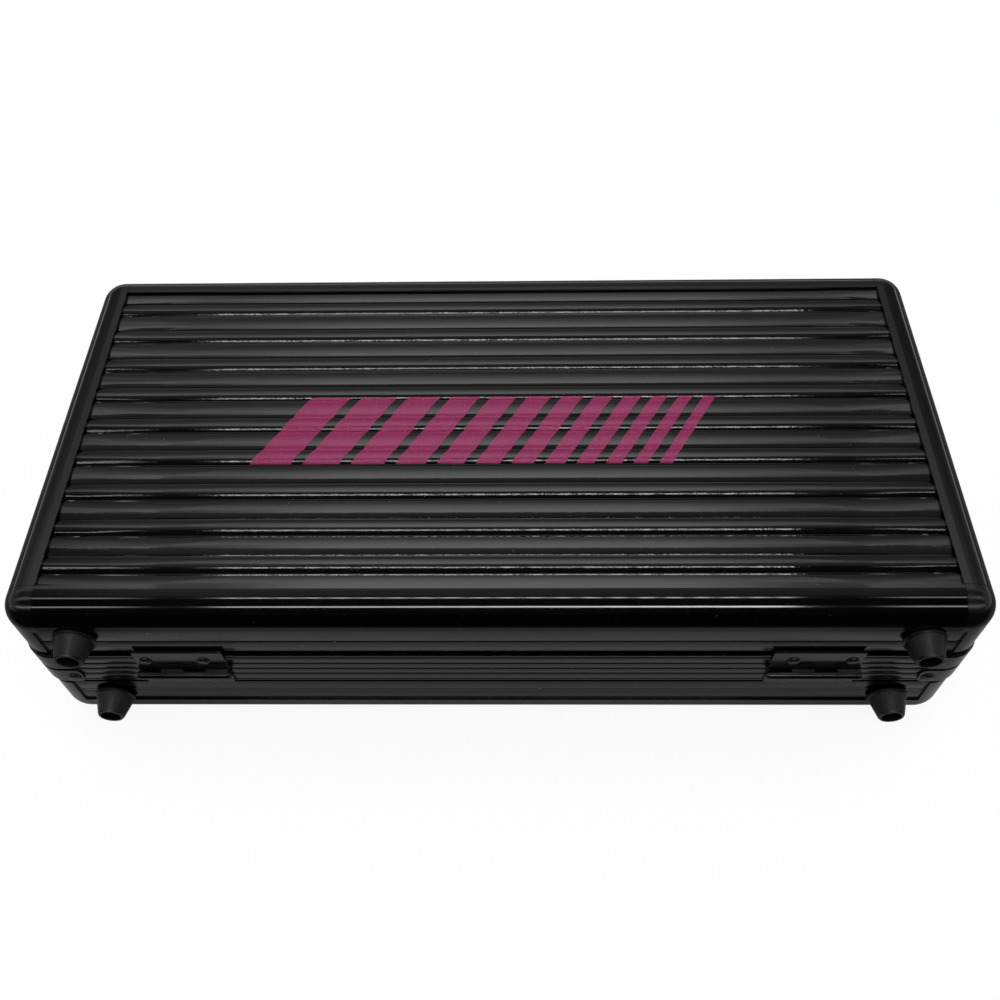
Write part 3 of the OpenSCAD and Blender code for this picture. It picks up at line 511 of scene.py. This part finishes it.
# Foam
def rounded_box(half_x, half_y, radius, steps=10):
    """Corner-rounded rectangle as angle and distance from the middle, for any direction."""
    points = []
    for turn, (sx, sy) in enumerate(((1, 1), (-1, 1), (-1, -1), (1, -1))):
        for a in np.linspace(0, math.pi / 2, steps) + turn * math.pi / 2:
            points.append((sx * (half_x - radius) + radius * math.cos(a),
                           sy * (half_y - radius) + radius * math.sin(a)))
    angle = np.unwrap([math.atan2(y, x) for x, y in points])
    reach = np.hypot(*np.array(points).T)
    return np.concatenate([angle - 2 * math.pi, angle, angle + 2 * math.pi]), np.tile(reach, 3)


def ray_to_box(angles, half_x, half_y, radius):
    """Distance to the outline along each direction; straight sides are met exactly."""
    known, reach = rounded_box(half_x, half_y, radius)
    soft = np.interp(angles, known, reach)
    flat = np.minimum(half_x / np.maximum(abs(np.cos(angles)), TINY),
                      half_y / np.maximum(abs(np.sin(angles)), TINY))
    x, y = abs(flat * np.cos(angles)), abs(flat * np.sin(angles))
    straight = (x < half_x - radius) | (y < half_y - radius)
    return np.where(straight, flat, soft)


def frame_angles(high):
    """Directions from the frame's middle, closer together about its corners and notches."""
    spots = [(middle, *ABOUT_NOTCH) for middle in (0, math.pi)]
    for corner_x, corner_y in ((high.x, high.y), (POCKET_X, POCKET_Y)):
        turn = math.atan2(corner_y, corner_x)
        spots += [(side, *ABOUT_CORNER) for side in (turn, -turn, math.pi - turn, turn - math.pi)]
    angles = set(np.linspace(0, 2 * math.pi, AROUND, endpoint=False))
    for middle, spread, count in spots:
        angles |= set(np.linspace(middle - spread, middle + spread, count) % (2 * math.pi))
    return np.array(sorted(angles))


def foam_frame():
    """The base's frame: rings of points up its outside, over its top and down into the pocket."""
    low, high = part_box("base_foam_frame")
    angles = frame_angles(high)
    notch = np.clip(1 - (POCKET_X * np.sin(angles) / NOTCH_R) ** 2, 0, 1)
    shoulder = high.z - CUT_EDGE

    def outside(inset):
        return ray_to_box(angles, high.x - inset, high.y - inset, FOAM_CORNER - inset)

    def pocket(growth):
        wall = ray_to_box(angles, POCKET_X + growth, POCKET_Y + growth, POCKET_CORNER + growth)
        bay = POCKET_X * abs(np.cos(angles)) + (NOTCH_R + growth) * np.sqrt(notch)
        return np.where(notch > 0, np.maximum(wall, bay), wall)

    def cut_edge(outline, a):
        return outline(CUT_EDGE * (1 - math.cos(a))), shoulder + (CUT_EDGE - CUT_DIP) * math.sin(a)

    rings = [(outside(0), z) for z in (low.z, (low.z + high.z) / 2, shoulder)]
    rings += [cut_edge(outside, a) for a in np.linspace(0, math.pi / 2, EDGE_STEPS)[1:]]
    first, last = outside(CUT_EDGE), pocket(CUT_EDGE)
    for share in np.linspace(0, 1, TOP_STEPS)[1:-1]:
        dip = CUT_DIP * (1 - math.sin(share * math.pi))
        rings.append((first + (last - first) * share, high.z - dip))
    rings += [cut_edge(pocket, a) for a in np.linspace(math.pi / 2, 0, EDGE_STEPS)]
    for share in np.linspace(0, 1, WALL_STEPS)[1:]:
        bulge = CUT_BULGE * math.sin(share * math.pi)
        rings.append((pocket(-bulge), shoulder + share * (low.z - shoulder)))
    verts, faces, count = [], [], len(angles)
    for reach, z in rings:
        verts += [(r * math.cos(a), r * math.sin(a), z) for r, a in zip(reach, angles)]
    for i in range(len(rings)):
        j = (i + 1) % len(rings)
        for k in range(count):
            m = (k + 1) % count
            faces.append((i * count + k, i * count + m, j * count + m, j * count + k))
    piece = solid("base_foam_cut_frame", verts, faces)
    dress(piece, "foam", "base", "base_foam_frame")


def foam_slab(name, node, body, face_up, height, nx, ny):
    """Foam slab whose shown face follows a height function, measured inward from its flat plane."""
    low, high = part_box(node)
    straight = high.y - FOAM_CORNER
    ends = straight + np.sin(np.linspace(0, math.pi / 2, CORNER_ROWS)) * FOAM_CORNER
    middle = np.linspace(-straight, straight, ny)[1:-1]
    shown, hidden = [], []
    for y in np.concatenate([-ends[::-1], middle, ends]):
        past = max(0.0, abs(y) - straight)
        half = high.x - FOAM_CORNER + math.sqrt(max(0.0, FOAM_CORNER ** 2 - past ** 2))
        xs = np.linspace(-half, half, nx)
        line = []
        for x in xs:
            rim = min(half - abs(x), high.y - abs(y))
            drop = RIM_DROP * max(0.0, 1 - rim / RIM_WIDTH) ** 2
            depth = height(x, y, min(1.0, rim / BORDER)) + drop
            line.append((x, y, high.z - depth if face_up else low.z + depth))
        shown.append(line)
        hidden.append([(x, y, low.z if face_up else high.z) for x in xs])
    piece = grid_solid(name, shown, hidden)
    dress(piece, "foam", body, node)


def crate(x, y, inside):
    """Egg-crate foam: soft peaks and hollows, flat along the border."""
    wave = math.cos(math.pi * x / CRATE_STEP) * math.cos(math.pi * y / CRATE_STEP)
    return CRATE_DEEP * (0.5 - 0.5 * wave) * inside


def crowned(x, y, _):
    """A sheet that lies a little lower towards its edges."""
    return CROWN * ((x / CROWN_X) ** 2 + (y / CROWN_Y) ** 2)


# Studio
def make_world():
    """White to the camera. Reflections see a studio with two rows of lamps over a white horizon."""
    world = bpy.data.worlds.new("studio")
    SCENE.world = world
    world.use_nodes = True
    world.node_tree.nodes.clear()
    nodes = Nodes(world.node_tree)
    way = nodes.new("ShaderNodeTexCoord").outputs["Generated"]
    x, y, z = nodes.new("ShaderNodeSeparateXYZ", {0: way}).outputs
    angle = nodes.math("DEGREES", nodes.math("ARCTAN2", z, y))
    spread = nodes.math("ADD", nodes.math("POWER", y, 2), nodes.math("POWER", z, 2))
    spread = nodes.math("MAXIMUM", nodes.math("SQRT", spread), 0.01)
    along = nodes.math("DIVIDE", x, spread)
    fade = nodes.step(nodes.math("ABSOLUTE", along), *SKY_FADE)
    total = nodes.math("MULTIPLY", nodes.curve(angle, SKY), fade)
    total = nodes.math("MULTIPLY", total, nodes.step(along, *SKY_SLOPE))
    beat = nodes.math("FRACT", nodes.math("DIVIDE", along, LAMP_STEP))
    dashed = nodes.step(nodes.math("ABSOLUTE", nodes.math("SUBTRACT", beat, 0.5)), *LAMP_DASH)
    growing = nodes.step(along, *LAMP_GROWTH)
    left, right = LAMP_ENDS
    inside = nodes.math("MULTIPLY", nodes.step(along, left - LAMP_SOFT, left + LAMP_SOFT),
                        nodes.step(along, right + LAMP_SOFT, right - LAMP_SOFT))
    for (degrees, width, strength), pattern in ((LAMP_ONE, dashed), (LAMP_TWO, growing)):
        off = nodes.math("ABSOLUTE", nodes.math("SUBTRACT", angle, degrees))
        lamp = nodes.math("MULTIPLY", nodes.step(off, width / 2, width / 4), strength)
        lit = nodes.math("MULTIPLY", inside, pattern)
        for sign, start, share in STRIPS:
            outward = nodes.math("MULTIPLY", along, sign)
            strip = nodes.step(outward, start, start + STRIP_SOFT, 0.0, share)
            lit = nodes.math("ADD", lit, strip)
        total = nodes.math("ADD", total, nodes.math("MULTIPLY", lamp, lit))
    side = nodes.step(nodes.math("ABSOLUTE", x), *SKY_ENDS)
    total = nodes.math("ADD", nodes.math("MULTIPLY", total, nodes.math("SUBTRACT", 1.0, side)),
                       nodes.math("MULTIPLY", side, SKY_END_STRENGTH))
    room = nodes.new("ShaderNodeBackground", {"Color": WHITE, "Strength": total})
    white = nodes.new("ShaderNodeBackground", {"Color": WHITE, "Strength": 1.0})
    path = nodes.new("ShaderNodeLightPath").outputs
    mirrored = nodes.math("MAXIMUM", path["Is Glossy Ray"], path["Is Transmission Ray"])
    backdrop = nodes.math("MULTIPLY", mirrored, nodes.step(nodes.math("ABSOLUTE", z), *HORIZON))
    shown = nodes.math("MAXIMUM", path["Is Camera Ray"], backdrop)
    mix = nodes.new("ShaderNodeMixShader", {0: shown, 1: room.outputs[0], 2: white.outputs[0]})
    nodes.new("ShaderNodeOutputWorld", {"Surface": mix.outputs[0]})


def stage_plane(name, finish, points, reflected_only=True):
    """A flat studio piece with an empty material; gives the piece and the material's nodes."""
    mesh = bpy.data.meshes.new(name)
    mesh.from_pydata(points, [], [(0, 1, 2, 3)])
    plane = bpy.data.objects.new(name, mesh)
    SCENE.collection.objects.link(plane)
    if reflected_only:
        plane.visible_camera = plane.visible_diffuse = plane.visible_shadow = False
    material = bpy.data.materials.new(finish)
    material.use_nodes = True
    material.node_tree.nodes.clear()
    mesh.materials.append(material)
    return plane, Nodes(material.node_tree)


def make_floor():
    """White to the camera with the case's soft shade, dimmer in reflections, matt to other light."""
    half = FLOOR_HALF
    points = [(-half, -half, 0), (half, -half, 0), (half, half, 0), (-half, half, 0)]
    floor, nodes = stage_plane("floor", "floor_white", points, reflected_only=False)
    floor.location.z = -FLOOR_DROP
    matt = nodes.new("ShaderNodeBsdfDiffuse", {"Color": FLOOR_MATT})
    openness = nodes.new("ShaderNodeAmbientOcclusion", {"Distance": FLOOR_REACH}).outputs["AO"]
    path = nodes.new("ShaderNodeLightPath").outputs
    seen, mirrored = nodes.step(openness, *FLOOR_SEEN), nodes.curve(openness, FLOOR_MIRRORED)
    level = nodes.new("ShaderNodeMix", {0: path["Is Camera Ray"], 2: mirrored, 3: seen}).outputs[0]
    white = nodes.new("ShaderNodeEmission", {"Color": WHITE, "Strength": level})
    direct = nodes.math("MAXIMUM", path["Is Camera Ray"], path["Is Glossy Ray"])
    direct = nodes.math("MAXIMUM", direct, path["Is Transmission Ray"])
    mix = nodes.new("ShaderNodeMixShader", {0: direct, 1: matt.outputs[0], 2: white.outputs[0]})
    nodes.new("ShaderNodeOutputMaterial", {"Surface": mix.outputs[0]})


def make_flag():
    near, far = FLAG_EDGES
    points = [(-FLAG_HALF, *near), (FLAG_HALF, *near), (FLAG_HALF, *far), (-FLAG_HALF, *far)]
    _, nodes = stage_plane("flag", "flag_black", points)
    inputs = {"Base Color": FLAG_BLACK, "Specular IOR Level": 0.0}
    black = nodes.new("ShaderNodeBsdfPrincipled", inputs)
    nodes.new("ShaderNodeOutputMaterial", {"Surface": black.outputs[0]})


def make_softbox():
    near, far = SOFTBOX[0][0], SOFTBOX[-1][0]
    spots = ((-SOFTBOX_HALF, near), (SOFTBOX_HALF, near), (SOFTBOX_HALF, far), (-SOFTBOX_HALF, far))
    points = [(x, y, SOFTBOX_Z) for x, y in spots]
    _, nodes = stage_plane("softbox", "softbox_white", points)
    place = nodes.new("ShaderNodeTexCoord").outputs["Object"]
    x, y = nodes.new("ShaderNodeSeparateXYZ", {0: place}).outputs[:2]
    ends = nodes.step(nodes.math("ABSOLUTE", x), *SOFTBOX_ENDS)
    loss = nodes.math("MULTIPLY", ends, nodes.step(y, *SOFTBOX_LOSS))
    level = nodes.math("MULTIPLY", nodes.curve(y, SOFTBOX), nodes.math("SUBTRACT", 1.0, loss))
    level = nodes.math("MULTIPLY", level, nodes.step(x, *SOFTBOX_SLOPE))
    white = nodes.new("ShaderNodeEmission", {"Color": WHITE, "Strength": level})
    nodes.new("ShaderNodeOutputMaterial", {"Surface": white.outputs[0]})


LID_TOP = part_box("lid_front_edge")[1].z
make_camera()
paint_nodes()
ribbed_panel("lid_ribbed_panel", "lid_top_panel", "lid", LID_TOP, outward=1)
ribbed_panel("base_ribbed_panel", "base_bottom_panel", "base", 0.0, outward=-1)
print_motif(LID_TOP)
foam_frame()
foam_slab("base_foam_sheet", "base_foam_floor", "base", face_up=True, height=crowned, nx=80, ny=40)
foam_slab("lid_foam_crate", "lid_foam", "lid", face_up=False, height=crate, nx=190, ny=92)
make_world()
make_floor()
make_flag()
make_softbox()
SCENE.view_settings.view_transform = "Standard"
